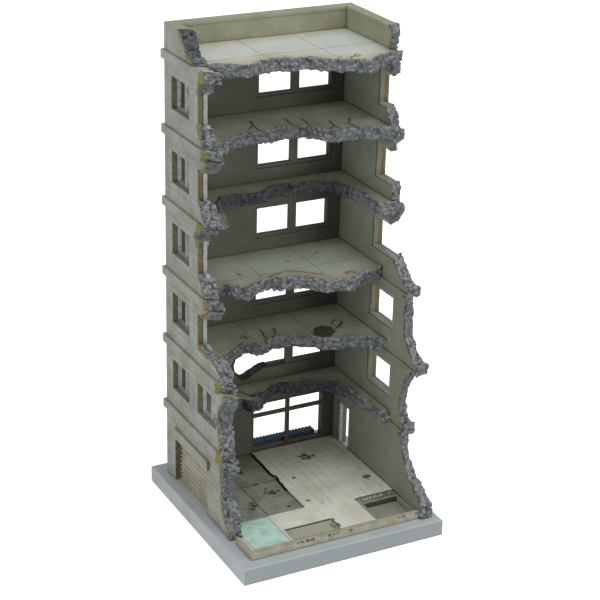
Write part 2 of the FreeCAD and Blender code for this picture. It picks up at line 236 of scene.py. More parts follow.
def clean_mesh(node):
    """The node's solid as flat many-sided faces, with its clean edges slightly rounded."""
    mesh = bmesh.new()
    mesh.from_mesh(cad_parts[node].data)
    bmesh.ops.scale(mesh, vec=(1 / MM,) * 3, verts=mesh.verts)
    bmesh.ops.remove_doubles(mesh, verts=mesh.verts, dist=SAME_POINT)
    mesh.normal_update()
    bmesh.ops.dissolve_limit(mesh, angle_limit=FLAT_ANGLE, verts=mesh.verts, edges=mesh.edges)
    mesh.normal_update()
    slab, front = "slab" in node, front_zone(node)
    sharp = []
    for edge in mesh.edges:
        if len(edge.link_faces) != 2 or edge.calc_length() < 4 * EDGE_ROUNDING:
            continue
        if any(is_broken(face.normal, face.calc_center_median().y, slab, front) for face in edge.link_faces):
            continue
        if edge.calc_face_angle() > ROUNDED_ANGLE and edge.is_convex:
            sharp.append(edge)
    bmesh.ops.bevel(mesh, geom=sharp, offset=EDGE_ROUNDING, segments=2, affect="EDGES", profile=0.6,
                    clamp_overlap=True)
    return mesh


def cut_across(mesh, geometry, axis, value):
    """Divides some of a bmesh along the plane where one axis has a value."""
    place, normal = Vector((0, 0, 0)), Vector((0, 0, 0))
    place[axis], normal[axis] = value, 1
    bmesh.ops.bisect_plane(mesh, geom=geometry, dist=0.0001, plane_co=place, plane_no=normal)


def cut_grid(mesh, axes=(0, 1, 2)):
    """Divides the faces on a regular grid, so that values at the points vary smoothly over them."""
    for axis in axes:
        values = [vertex.co[axis] for vertex in mesh.verts]
        lowest, highest = min(values), max(values)
        count = int((highest - lowest) / CLEAN_GRID)
        for index in range(1, count):
            geometry = mesh.verts[:] + mesh.edges[:] + mesh.faces[:]
            cut_across(mesh, geometry, axis, lowest + (highest - lowest) * index / count)


def score(mesh, axis, value, height, span=None, width=SCORE_HALF_WIDTH, depth=SCORE_DEPTH):
    """Presses a V-shaped line into the faces at a height, across one axis."""
    other = 1 - axis
    for shift in (-width, 0, width):
        mesh.normal_update()
        faces = [face for face in mesh.faces
                 if face.normal.z > 0.9 and abs(face.calc_center_median().z - height) < 0.01]
        edges = list({edge for face in faces for edge in face.edges})
        verts = list({vertex for face in faces for vertex in face.verts})
        cut_across(mesh, verts + edges + faces, axis, value + shift)
    line = mesh.verts.layers.float.get("line") or mesh.verts.layers.float.new("line")
    for vertex in mesh.verts:
        on_line = abs(vertex.co[axis] - value) < SAME_POINT and abs(vertex.co.z - height) < SAME_POINT
        if on_line and (span is None or span[0] < vertex.co[other] < span[1]):
            vertex.co.z -= depth
            vertex[line] = 1.0


def mesh_parts(mesh):
    """Points and faces of a bmesh as plain arrays."""
    mesh.verts.index_update()
    points = np.array([vertex.co[:] for vertex in mesh.verts])
    faces = [[vertex.index for vertex in face.verts] for face in mesh.faces]
    return points, faces


def line_values(mesh):
    """1 at the bottom of a scored line and 0 elsewhere."""
    line = mesh.verts.layers.float["line"]
    return np.array([vertex[line] for vertex in mesh.verts])


# -------- rubble along broken faces
RUBBLE_VOXEL = 0.2
RUBBLE_MARGIN = 2.4
RUBBLE_BAND = 9               # voxels of distance kept on each side of a surface
RUBBLE_DEPTH = 0.95           # how far the rubble reaches in over the clean faces
RUBBLE_LIFT = 0.05            # how far its thin rim stands proud of them
RUBBLE_HIGHEST = 1.7          # the highest lumps
RUBBLE_SWELL = 0.12           # how far the whole crust stands out of a broken face
RUBBLE_ROUGHNESS = 1.35       # how strongly the lumps stand out of it
LUMP_SIZE = 1.5
GRAIN_SIZE = 0.72
SLAB_RUBBLE_DEPTH = 0.75
HOLE_RUBBLE = (0.4, 0.6)      # depth and roughness round the hole in the rear wall
CRUST_INSET = 0.03            # a wall's rubble ends this far inside the wall's top and foot
PARAPET_CRUST_RISE = 0.12     # and a parapet's rises this far above its top


def distance_grid(solid, origin, shape):
    """Signed distance to the solid on a regular grid, negative inside."""
    transform = openvdb.createLinearTransform(RUBBLE_VOXEL)
    points = (solid.points - origin).astype(np.float32)
    grid = openvdb.FloatGrid.createLevelSetFromPolygons(
        points, triangles=solid.triangles.astype(np.uint32), transform=transform, halfWidth=RUBBLE_BAND)
    values = np.zeros(shape, np.float32)
    grid.copyToArray(values)
    return values


def rubble(solid, seed, depth, roughness=RUBBLE_ROUGHNESS, foot=-math.inf, top=math.inf):
    """Points and four-sided faces of the crust of broken concrete on a solid's broken faces."""
    broken = solid.corners[solid.broken]
    lowest = broken.reshape(-1, 3).min(axis=0) - RUBBLE_MARGIN
    highest = broken.reshape(-1, 3).max(axis=0) + RUBBLE_MARGIN
    origin = np.floor(lowest / RUBBLE_VOXEL) * RUBBLE_VOXEL
    shape = tuple(np.ceil((highest - origin) / RUBBLE_VOXEL).astype(int) + 1)
    body = distance_grid(solid, origin, shape)
    to_break = np.full(shape, FAR, np.float32)
    for corners in broken:
        first = np.floor((corners.min(axis=0) - RUBBLE_MARGIN - origin) / RUBBLE_VOXEL).astype(int)
        last = np.ceil((corners.max(axis=0) + RUBBLE_MARGIN - origin) / RUBBLE_VOXEL).astype(int)
        first = np.maximum(first, 0)
        last = np.minimum(last, np.array(shape) - 1)
        window = tuple(slice(a, b + 1) for a, b in zip(first, last))
        axes = [origin[axis] + RUBBLE_VOXEL * np.arange(first[axis], last[axis] + 1) for axis in range(3)]
        block = np.stack(np.meshgrid(*axes, indexing="ij"), axis=-1).reshape(-1, 3)
        distance = triangle_distance(block, corners).reshape(to_break[window].shape)
        to_break[window] = np.minimum(to_break[window], distance)
    near = np.argwhere((to_break < RUBBLE_MARGIN) & (body < RUBBLE_HIGHEST))
    index = tuple(near.T)
    points = origin + near * RUBBLE_VOXEL
    lumps = pebble_noise(points, LUMP_SIZE, seed)
    grains = pebble_noise(points, GRAIN_SIZE, seed + 1)
    waves = smooth_noise(points, 3.1, seed + 2)
    fine = smooth_noise(points, 0.9, seed + 3)
    rim = depth * (1 + 0.48 * smooth_noise(points, 2.3, seed + 4) + 0.22 * fine)
    aside = np.sqrt(np.maximum(to_break[index] ** 2 - np.maximum(body[index], 0) ** 2, 0))
    share = np.clip(1 - aside / np.maximum(rim, 0.2), 0, 1)
    share = share * share * (3 - 2 * share)
    height = RUBBLE_SWELL + roughness * (0.44 * lumps + 0.42 * grains + 0.3 * waves + 0.16 * fine - 0.42)
    height = RUBBLE_LIFT + share * np.clip(height, 0.02, RUBBLE_HIGHEST - 0.2)
    value = np.maximum(body[index] - height, (aside - rim) * 0.8)
    value = np.maximum(value, np.maximum(foot - points[:, 2], points[:, 2] - top))
    field = np.full(shape, 1.0, np.float32)
    field[index] = np.clip(value, -1, 1)
    grid = openvdb.FloatGrid(1.0)
    grid.transform = openvdb.createLinearTransform(RUBBLE_VOXEL)
    grid.copyFromArray(field)
    crust, quads = grid.convertToQuads(0.0)
    crust = crust.astype(float) + origin
    return crust, quads[:, ::-1].tolist()


def rubble_tone(points, seed):
    """How high a point stands in the rubble's grain, for dry-brushed highlights."""
    lumps = pebble_noise(points, LUMP_SIZE, seed)
    grains = pebble_noise(points, GRAIN_SIZE, seed + 1)
    return np.clip(0.5 * lumps + 0.35 * grains + 0.12 * smooth_noise(points, 0.5, seed + 5), 0, 1)


# -------- tiles on the outer faces
COURSE = 1.96
TILE_LENGTH = 2.44
TILE_GAP = 0.17               # between courses
TILE_JOINT = 0.03             # between the tiles of one course
TILE_RISE = 0.07
TILE_ROOT = 0.02              # how far a tile reaches into its wall
TILE_EDGE = (0.02, 0.05)      # bevel at the joints and at the gaps


def divide(start, end, length):
    count = max(1, round((end - start) / length))
    return [start + (end - start) * index / count for index in range(count + 1)]


def in_triangles(points, corners):
    inside = np.zeros(len(points), bool)
    for a, b, c in corners:
        sides = [(q[0] - p[0]) * (points[:, 1] - p[1]) - (q[1] - p[1]) * (points[:, 0] - p[0])
                 for p, q in ((a, b), (b, c), (c, a))]
        inside |= np.all(np.array(sides) >= -1e-6, axis=0) | np.all(np.array(sides) <= 1e-6, axis=0)
    return inside


def tiles(piece, solid, axis, sign, columns, anchor, material, seed):
    """Small raised tiles on one outer face of a wall, where whole tiles fit."""
    face = solid.corners[solid.normals[:, axis] * sign > 0.99]
    level = (face[:, :, axis] * sign).max() * sign
    face = face[np.abs(face[:, :, axis] - level).max(axis=1) < 0.01]
    across = 1 - axis
    flat = face[:, :, [across, 2]]
    bottom, top = flat[:, :, 1].min(), flat[:, :, 1].max()
    first = bottom + (anchor - bottom) % COURSE - COURSE
    rows = [max(bottom, first + COURSE * index) for index in range(int((top - first) / COURSE) + 1)]
    rows.append(top)
    rng = np.random.default_rng(SEED + seed)
    shapes, tones = [], []
    for start, end in zip(columns[:-1], columns[1:]):
        for low_edge, high_edge in zip(rows[:-1], rows[1:]):
            if high_edge - low_edge < 2 * TILE_GAP:
                continue
            left, right = start + TILE_JOINT / 2, end - TILE_JOINT / 2
            foot, head = low_edge + TILE_GAP / 2, high_edge - TILE_GAP / 2
            ring = np.array([(left, foot), (right, foot), (right, head), (left, head)])
            probes = np.concatenate([ring, ring.mean(axis=0)[None], (ring + np.roll(ring, 1, axis=0)) / 2])
            tone = rng.uniform(0.25, 0.75)
            if not in_triangles(probes, flat).all():
                continue
            middle = ring.mean(axis=0)
            upper = ring + np.sign(middle - ring) * TILE_EDGE
            shape = np.zeros((8, 3))
            shape[:4, [across, 2]] = ring
            shape[4:, [across, 2]] = upper
            shape[:4, axis] = level - sign * TILE_ROOT
            shape[4:, axis] = level + sign * TILE_RISE
            shapes.append(shape)
            tones.append(np.full(8, tone))
    if not shapes:
        return
    order = [(4, 5, 6, 7), (0, 1, 5, 4), (1, 2, 6, 5), (2, 3, 7, 6), (3, 0, 4, 7), (3, 2, 1, 0)]
    if (across == 0) == (sign > 0):
        order = [item[::-1] for item in order]
    faces = [[8 * index + corner for corner in item] for index in range(len(shapes)) for item in order]
    points = np.concatenate(shapes)
    piece.add(points, faces, material, wear=break_distance(points, solid), tone=np.concatenate(tones))


# -------- procedural materials
def linear(code):
    """A scene colour from a hexadecimal screen colour."""
    values = [int(code[index:index + 2], 16) / 255 for index in (0, 2, 4)]
    return tuple(value / 12.92 if value <= 0.04045 else ((value + 0.055) / 1.055) ** 2.4
                 for value in values) + (1.0,)


class Nodes:
    """A short way to write a material's node tree."""

    def __init__(self, name):
        self.material = bpy.data.materials.new(name)
        self.material.use_nodes = True
        self.tree = self.material.node_tree
        self.tree.nodes.clear()
        self.position = self.add("ShaderNodeTexCoord").outputs["Object"]

    def add(self, kind, **settings):
        node = self.tree.nodes.new(kind)
        for key, value in settings.items():
            setattr(node, key, value)
        return node

    def put(self, socket, value):
        """Links an output to a socket, or gives it a value or a hexadecimal colour."""
        if hasattr(value, "is_output"):
            self.tree.links.new(value, socket)
        else:
            socket.default_value = linear(value) if isinstance(value, str) else value

    def noise(self, size, detail=3.0, roughness=0.55, shift=0.0):
        """Noise with features of a size in millimetres."""
        node = self.add("ShaderNodeTexNoise", noise_dimensions="4D")
        self.put(node.inputs["Vector"], self.position)
        node.inputs["W"].default_value = shift
        node.inputs["Scale"].default_value = 1 / (size * MM)
        node.inputs["Detail"].default_value = detail
        node.inputs["Roughness"].default_value = roughness
        return node.outputs["Fac"]

    def cells(self, size):
        node = self.add("ShaderNodeTexVoronoi")
        self.put(node.inputs["Vector"], self.position)
        node.inputs["Scale"].default_value = 1 / (size * MM)
        return node.outputs["Distance"]

    def value(self, label):
        return self.add("ShaderNodeAttribute", attribute_name=label).outputs["Fac"]

    def math(self, operation, first, second=0.0):
        node = self.add("ShaderNodeMath", operation=operation)
        self.put(node.inputs[0], first)
        self.put(node.inputs[1], second)
        return node.outputs[0]

    def times(self, first, second):
        return self.math("MULTIPLY", first, second)

    def most(self, first, second):
        return self.math("MAXIMUM", first, second)

    def ramp(self, value, start, end, low_value=0.0, high_value=1.0):
        """Maps start..end to low_value..high_value, clamped, with a smooth step."""
        node = self.add("ShaderNodeMapRange", interpolation_type="SMOOTHSTEP")
        for socket, number in zip(node.inputs[:5], (value, start, end, low_value, high_value)):
            self.put(socket, number)
        return node.outputs[0]

    def mix(self, share, first, second, blend="MIX"):
        node = self.add("ShaderNodeMix", data_type="RGBA", blend_type=blend)
        self.put(node.inputs["Factor"], share)
        self.put(node.inputs[6], first)
        self.put(node.inputs[7], second)
        return node.outputs[2]

    def patches(self, first, second, size, detail, start, end, shift=0.0):
        """Two colours in soft patches of a size in millimetres."""
        share = self.ramp(self.noise(size, detail, shift=shift), start, end)
        return self.mix(share, first, second)

    def axis(self, index, normal=False):
        node = self.add("ShaderNodeSeparateXYZ")
        source = self.add("ShaderNodeNewGeometry").outputs["Normal"] if normal else self.position
        self.put(node.inputs[0], source)
        return node.outputs[index]

    def front_shade(self, share=1.0):
        """Where the front's painted shade goes: 0 on most faces, and a share on those that look straight to
        the front.
        """
        return self.ramp(self.axis(1, normal=True), -0.6, -0.9, 0.0, share)

    def place(self, start, end, high_value=1.0):
        """A ramp from 0 between two distances to the left face."""
        return self.ramp(self.axis(0), (LEFT_FACE + start) * MM, (LEFT_FACE + end) * MM, 0.0, high_value)

    def reach(self, start, end, high_value=1.0):
        """A ramp from 0 between two distances to the rear face."""
        return self.ramp(self.axis(1), (REAR_FACE - start) * MM, (REAR_FACE - end) * MM, 0.0, high_value)

    def crevice(self, distance):
        """0 in tight corners and 1 on open faces."""
        node = self.add("ShaderNodeAmbientOcclusion", samples=6)
        node.inputs["Distance"].default_value = distance * MM
        return node.outputs["AO"]

    def bump(self, height, strength, distance, below=None):
        node = self.add("ShaderNodeBump")
        node.inputs["Strength"].default_value = strength
        node.inputs["Distance"].default_value = distance * MM
        self.put(node.inputs["Height"], height)
        if below is not None:
            self.put(node.inputs["Normal"], below)
        return node.outputs[0]

    def finish(self, colour, roughness, normal, specular=0.25):
        shader = self.add("ShaderNodeBsdfPrincipled")
        self.put(shader.inputs["Base Color"], colour)
        self.put(shader.inputs["Roughness"], roughness)
        self.put(shader.inputs["Normal"], normal)
        shader.inputs["Specular IOR Level"].default_value = specular
        output = self.add("ShaderNodeOutputMaterial")
        self.tree.links.new(shader.outputs[0], output.inputs[0])
        return self.material


INNER_RIGHT = RIGHT_FACE - WALL - LEFT_FACE   # distance from the left face to the right wall
SEAM_START, SEAM_END = 0.5, 0.15              # how far from a wall the dark line at its foot is
SHADOW = "23231b"


def seams(n):
    """1 along the feet of the three walls and 0 on the rest of a floor."""
    left = n.place(WALL + SEAM_START, WALL + SEAM_END)
    right = n.place(INNER_RIGHT - SEAM_START, INNER_RIGHT - SEAM_END)
    rear = n.reach(WALL + SEAM_START, WALL + SEAM_END)
    return n.most(n.most(left, right), rear)


def paint(name, colour, worn="a79f80", stain="6b6650", front=None, tone_share=0.25, wear_reach=6.5,
          wash_and_shade=0.55, grime=0.35, seam=0.0, corner_shade=0.0):
    """Matt brushed paint: mottled, darker in corners with dark wash and painted shade, and warmer towards a
    broken edge.

    front is the colour of faces that look to the front, brown wash with painted shade. wear_reach is how far
    the worn colour spreads from a broken edge. corner_shade darkens a wall towards the right.
    """
    n = Nodes(name)
    shade = n.mix(grime, colour, n.patches(colour, stain, 7.0, 4.0, 0.35, 0.7))
    speckle = n.ramp(n.noise(0.5, 3.0, shift=3.0), 0.35, 0.75, 0.9, 1.06)
    wear = n.math("ADD", n.value("wear"), n.times(n.noise(2.6, 3.0, shift=1.0), 4.0))
    shade = n.mix(n.ramp(wear, wear_reach + 2.0, 1.6, 0.0, 0.85), shade, worn)
    # Faces that look to the front take the front colour: brown wash with painted shade.
    if front is not None:
        streaks = n.ramp(n.noise(1.6, 4.0, shift=5.0), 0.3, 0.7, 0.65, 1.0)
        shade = n.mix(n.times(n.front_shade(), streaks), shade, front)
    tone = n.ramp(n.value("tone"), 0.0, 1.0, 1 - tone_share, 1 + tone_share)
    shade = n.mix(1.0, shade, n.times(tone, speckle), "MULTIPLY")
    # Dark wash and painted shade in corners, dark wash in the scored lines, and painted shade along the wall
    # feet.
    corner = n.ramp(n.crevice(1.1), 0.25, 0.85, wash_and_shade, 0.0)
    corner = n.most(corner, n.times(n.value("line"), 0.6))
    if corner_shade:
        shade = n.mix(n.place(INNER_RIGHT - 20, INNER_RIGHT, corner_shade), shade, SHADOW)
    if seam:
        corner = n.most(corner, n.times(seams(n), seam))
    shade = n.mix(corner, shade, SHADOW)
    grain = n.bump(n.noise(0.35, 2.0, shift=7.0), 0.25, 0.06)
    rough = n.ramp(n.noise(1.5, 2.0, shift=9.0), 0.2, 0.8, 0.68, 0.86)
    return n.finish(shade, rough, grain)


def broken_concrete():
    """Grey broken concrete: painted shade in the gaps and painted shadow towards the rear, dry-brushed light
    on the high grains, stronger on upward faces as a painted highlight.
    """
    n = Nodes("broken_concrete")
    mixed = n.math("ADD", n.value("tone"), n.times(n.noise(0.22, 2.0, 0.6), 0.1))
    shade = n.mix(n.ramp(mixed, 0.12, 0.56), "2f3234", "5a5e61")
    # Dry-brushed light on the high grains, with a painted highlight on faces that look up.
    upward = n.ramp(n.axis(2, normal=True), -0.3, 0.6, 0.2, 0.9)
    shade = n.mix(n.times(n.ramp(mixed, 0.46, 0.85), upward), shade, "9b9fa0")
    shade = n.mix(n.ramp(n.noise(5.0, 2.0, shift=4.0), 0.4, 0.7, 0.0, 0.35), shade, "6e7069")
    # Painted shadow of the storeys above: rubble closer to the rear face is darker.
    shade = n.mix(n.reach(29, 11, 0.62), shade, "18191c")
    shade = n.mix(n.place(-0.1, -0.3, 0.85), shade, "877b4c")
    # Painted shade in the gaps.
    shade = n.mix(n.ramp(n.crevice(0.9), 0.15, 0.8, 0.6, 0.0), shade, "17181c")
    pits = n.bump(n.cells(0.45), 0.3, 0.1)
    grain = n.bump(n.noise(0.16, 3.0, shift=2.0), 0.5, 0.06, pits)
    return n.finish(shade, 0.92, grain, 0.15)


def plain(name, colour, second, size=3.0, roughness=0.6, grain_size=0.5, wash_and_shade=0.5, front=None):
    """Moulded plastic with slight mottling and a fine grain."""
    n = Nodes(name)
    shade = n.patches(colour, second, size, 4.0, 0.35, 0.68)
    # Faces that look to the front take the front colour as painted shade.
    if front is not None:
        shade = n.mix(n.front_shade(0.8), shade, front)
    # Dark wash and painted shade in corners.
    shade = n.mix(n.ramp(n.crevice(1.0), 0.3, 0.9, wash_and_shade, 0.0), shade, "2a2b28")
    rough = n.ramp(n.noise(size * 0.6, 3.0, shift=6.0), 0.2, 0.8, roughness - 0.08, roughness + 0.1)
    return n.finish(shade, rough, n.bump(n.noise(grain_size, 2.0, shift=2.0), 0.3, 0.05), 0.35)


def disc(n, place, reach, radius):
    """1 in the middle of a round patch on a floor, fading to 0 at its edge."""
    centre = at(place, reach, 0) * MM
    x = n.math("SUBTRACT", n.axis(0), centre[0])
    y = n.math("SUBTRACT", n.axis(1), centre[1])
    span = n.math("SQRT", n.math("ADD", n.times(x, x), n.times(y, y)))
    return n.ramp(span, radius * MM, 0.0)


def panel(n, start, end):
    """1 inside a rectangle given by two (place, reach) corners."""
    share = 1.0
    first, last = at(*start, 0) * MM, at(*end, 0) * MM
    edge = 0.05 * MM
    for axis in (0, 1):
        lowest, highest = sorted((first[axis], last[axis]))
        rise = n.ramp(n.axis(axis), lowest - edge, lowest + edge)
        fall = n.ramp(n.axis(axis), highest + edge, highest - edge)
        share = n.times(share, n.times(rise, fall))
    return share


OUTLINE = 0.28                # width of the dark line round a patch of the ground floor


def outline(n, start, end):
    """1 on a thin line just outside a rectangle given by two (place, reach) corners."""
    wider = panel(n, [value - OUTLINE for value in start], [value + OUTLINE for value in end])
    return n.math("SUBTRACT", wider, panel(n, start, end))


TRAY_SHOULDER = 49.4          # how far forward the left wall stands beside the floor
GARAGE = ((3.1, 3.1), (27.5, 41.3))
TEAL_PATCH = ((3.0, 42.0), (14.6, 57.0))
RECESS = ((16.0, 50.8), (31.4, 57.8))
PIT = ((43.9, 43.6), (57.9, 57.8))
# Dark stains as (place, reach, radius).
STAINS = ((43.0, 13.2, 5.0), (22.3, 28.4, 5.6), (13.4, 33.4, 4.4), (20.4, 22.0, 2.4), (20.1, 12.3, 3.6),
          (54.0, 32.7, 2.6), (30.5, 38.5, 1.8), (9.0, 50.0, 1.6), (33.0, 24.0, 1.4), (24.0, 38.4, 1.4))


def ground_paint():
    """The ground floor: cream tiles, a grey garage floor, a pale green patch and dark oil stains, with
    painted shade towards the rear, on the sunken parts and in corners.
    """
    n = Nodes("ground_floor_paint")
    cream = n.patches("e6e6d9", "d0cfbf", 9.0, 3.0, 0.3, 0.7)
    garage = n.patches("9b9d90", "7f8277", 5.0, 3.0, 0.35, 0.7, 2.0)
    shade = n.mix(panel(n, *GARAGE), cream, garage)
    green = n.patches("c4e3d6", "a4c6b7", 4.0, 3.0, 0.35, 0.7, 8.0)
    shade = n.mix(panel(n, *TEAL_PATCH), shade, green)
    # Painted shade: the floor darkens towards the rear wall.
    shade = n.mix(n.reach(26, 3, 0.55), shade, "55523f")
    kerb = n.patches("b2b09d", "a09e89", 3.0, 3.0, 0.35, 0.65, 9.0)
    on_kerb = n.most(n.place(2.0, 1.8), n.reach(57.7, 57.9))
    # Painted shade darkens the sunken recess and pit.
    for sunken, colour in ((RECESS, "a3a18c"), (PIT, "7f8071")):
        shade = n.mix(n.times(panel(n, *sunken), 0.8), shade, colour)
    outlines = 0.0
    for start, end in (GARAGE, TEAL_PATCH, RECESS, PIT):
        outlines = n.most(outlines, outline(n, start, end))
    # Painted shade on faces that look to the front, such as the pit's walls.
    shade = n.mix(n.front_shade(0.85), shade, "3f3e31")
    shade = n.mix(on_kerb, shade, kerb)
    stained = 0.0
    for place, reach, radius in STAINS:
        stained = n.most(stained, disc(n, place, reach, radius))
    blots = n.math("SUBTRACT", n.noise(1.3, 4.0, 0.68, shift=11.0), 0.5)
    stains_lines_and_shade = n.math("ADD", n.times(blots, 2.4), n.times(stained, 0.57))
    faded = n.ramp(n.noise(5.0, 3.0, shift=17.0), 0.4, 0.6, 0.15, 0.6)
    # The dark line along the wall feet is painted shade; it joins the oil stains, scored lines and outlines
    # in one mask.
    indoors = n.reach(TRAY_SHOULDER, TRAY_SHOULDER - 2, 0.8)
    lines = n.most(n.times(n.value("line"), faded), n.times(seams(n), indoors))
    lines = n.most(lines, n.times(outlines, 0.6))
    stains_lines_and_shade = n.most(n.ramp(stains_lines_and_shade, 0.38, 0.47), lines)
    shade = n.mix(n.times(stains_lines_and_shade, 0.88), shade, "26261f")
    shade = n.mix(n.ramp(n.noise(0.45, 2.0, shift=14.0), 0.71, 0.76, 0.0, 0.6), shade, "3b3a30")
    # Dark wash and painted shade in corners and grooves.
    shade = n.mix(n.ramp(n.crevice(0.9), 0.2, 0.85, 0.8, 0.0), shade, "1f1e17")
    grain = n.bump(n.noise(0.4, 3.0, shift=3.0), 0.3, 0.07)
    return n.finish(shade, n.ramp(n.noise(2.0, 2.0), 0.2, 0.8, 0.6, 0.85), grain)


# The front colours of these paints are brown wash with painted shade on faces that look to the front.
OUTSIDE = paint("outside_paint", "a9ada5", worn="a39d84", front="665c3e", wear_reach=3.0,
                tone_share=0.07, wash_and_shade=0.22)
INSIDE = paint("inside_paint", "8a9080", worn="8d8c76", stain="6b6e60", front="665c3e")
PLASTER = paint("plaster_paint", "8d9384", worn="8d8c76", stain="73776a", front="6e6342")
# The rear walls' paint is the inner paint darkened as painted shade; corner_shade adds the painted shadow of
# the right wall.
REAR = paint("shaded_rear_wall_paint", "6c6f63", worn="736f5c", stain="56574b", corner_shade=0.5)
FLOOR = paint("floor_paint", "b7beb0", worn="9d9273", stain="8f9284", front="8a7b4c", grime=0.3,
              wear_reach=8.0, seam=0.7)
ROOF = paint("roof_paint", "c9d0c8", worn="b3a888", stain="a9afa4", front="8a7b4c", grime=0.3,
             wear_reach=8.0)
PARAPET = paint("parapet_paint", "a3a48f", worn="a39d84", stain="7f7b62")
RUBBLE = broken_concrete()
CRACK = plain("crack_shadow", "24231d", "34322a", size=1.0, roughness=0.9)
CHIPPED = plain("chipped_edge", "8d8e84", "6f7069", size=0.6, roughness=0.9)
DEBRIS = plain("debris_paint", "b4b29e", "7d7b6b", size=0.8, roughness=0.9, wash_and_shade=0.8)
FLAKE = plain("flaked_patch", "66604a", "4b4636", size=1.2, roughness=0.85)
FRAME = plain("window_frame_paint", "adb3b3", "8b8f8c", size=2.0, roughness=0.7)
# The right frames' front colour is brown wash with painted shade.
RIGHT_FRAME = plain("right_window_frame_paint", "a5aaa6", "8b8f8c", size=2.0, roughness=0.7, front="7a6f4c")
BROWN_FRAME = plain("shop_frame_paint", "6b6348", "544d38", size=1.6, roughness=0.7)
# The shutter's near-black front colour is painted shade on faces that look to the front, such as the sides
# of its slots.
SHUTTER = plain("shutter_paint", "aba995", "97947f", size=5.0, roughness=0.65, wash_and_shade=0.08,
                front="24231d")
# The hood's front colour is brown wash with painted shade.
TRIM = paint("trim_paint", "a9a898", worn="a5a494", front="75673a")
# The base's darker front colour is painted shade on its front face.
BASE = plain("base_plastic", "b6bdc0", "adb4b7", size=12.0, roughness=0.55, grain_size=0.4, front="8f9699")
STEP = plain("step_paint", "44607a", "385068")
GROUND = ground_paint()


# -------- cracks and flaked patches
CRACK_TOP = 0.4


def wedge(path, width, depth, height):
    """A closed V-shaped tool along a path on a floor, thinning out at both ends."""
    points, faces = [], []
    path = np.array(path, float)
    for index, place in enumerate(path):
        before, after = path[max(index - 1, 0)], path[min(index + 1, len(path) - 1)]
        along = (after - before) / np.linalg.norm(after - before)
        side = np.array([-along[1], along[0], 0])
        end = index in (0, len(path) - 1)
        half = side * width * (0.4 if end else 1.0)
        bottom = depth * (0.3 if end else 1.0)
        middle = np.array([*place, height])
        above = middle + (0, 0, CRACK_TOP)
        points += [above + half, above - half, middle - (0, 0, bottom)]
    for index in range(len(path) - 1):
        a, b = 3 * index, 3 * index + 3
        faces += [(a, b, b + 1, a + 1), (a + 1, b + 1, b + 2, a + 2), (a + 2, b + 2, b, a)]
    faces += [(0, 1, 2), (len(points) - 1, len(points) - 2, len(points) - 3)]
    return points, faces


def jagged(path, seed, step=0.9, sway=0.28):
    """A crack's path with small random turns between its main points."""
    rng = np.random.default_rng(SEED + seed)
    result = []
    for start, end in zip(path[:-1], path[1:]):
        start, end = np.array(start, float), np.array(end, float)
        count = max(1, int(np.linalg.norm(end - start) / step))
        side = np.array([start[1] - end[1], end[0] - start[0]]) / np.linalg.norm(end - start)
        for index in range(count):
            sideways = rng.uniform(-sway, sway) if index else 0.0
            result.append(start + (end - start) * index / count + side * sideways)
    result.append(np.array(path[-1], float))
    return result


def carve(piece, tools, material):
    """Cuts closed tools out of a piece; the cut faces take the tool's material."""
    points, faces = [], []
    for tool_points, tool_faces in tools:
        faces += [[len(points) + index for index in face] for face in tool_faces]
        points += [tuple(np.array(point) * MM) for point in tool_points]
    mesh = bpy.data.meshes.new("carving_tool")
    mesh.from_pydata(points, [], faces)
    repair = bmesh.new()
    repair.from_mesh(mesh)
    bmesh.ops.recalc_face_normals(repair, faces=repair.faces)
    repair.to_mesh(mesh)
    repair.free()
    mesh.materials.append(material)
    tool = bpy.data.objects.new("carving_tool", mesh)
    bpy.context.scene.collection.objects.link(tool)
    if material.name not in piece.data.materials:
        piece.data.materials.append(material)
    modifier = piece.modifiers.new("carve", "BOOLEAN")
    modifier.operation = "DIFFERENCE"
    modifier.solver = "EXACT"
    modifier.use_self = True
    modifier.material_mode = "TRANSFER"
    modifier.object = tool
    bpy.context.view_layer.objects.active = piece
    with bpy.context.temp_override(object=piece, active_object=piece, selected_objects=[piece]):
        bpy.ops.object.modifier_apply(modifier="carve")
    bpy.data.objects.remove(tool)
    bpy.data.meshes.remove(mesh)


def lumps(edge, height, count, sizes, seed):
    """Small irregular lumps along an edge, to lie there as debris or to knock chips out of it."""
    rng = np.random.default_rng(SEED + seed)
    start, end = np.array(edge[0]), np.array(edge[1])
    made = []
    for _ in range(count):
        share = rng.uniform()
        centre = at(*(start + (end - start) * share + rng.uniform(-0.2, 0.2, 2)), height + 0.1)
        mesh = bmesh.new()
        bmesh.ops.create_icosphere(mesh, subdivisions=1, radius=rng.uniform(*sizes))
        points = [centre + np.array(vertex.co) * rng.uniform(0.7, 1.25) for vertex in mesh.verts]
        faces = [tuple(vertex.index for vertex in face.verts) for face in mesh.faces]
        mesh.free()
        made.append((points, faces))
    return made


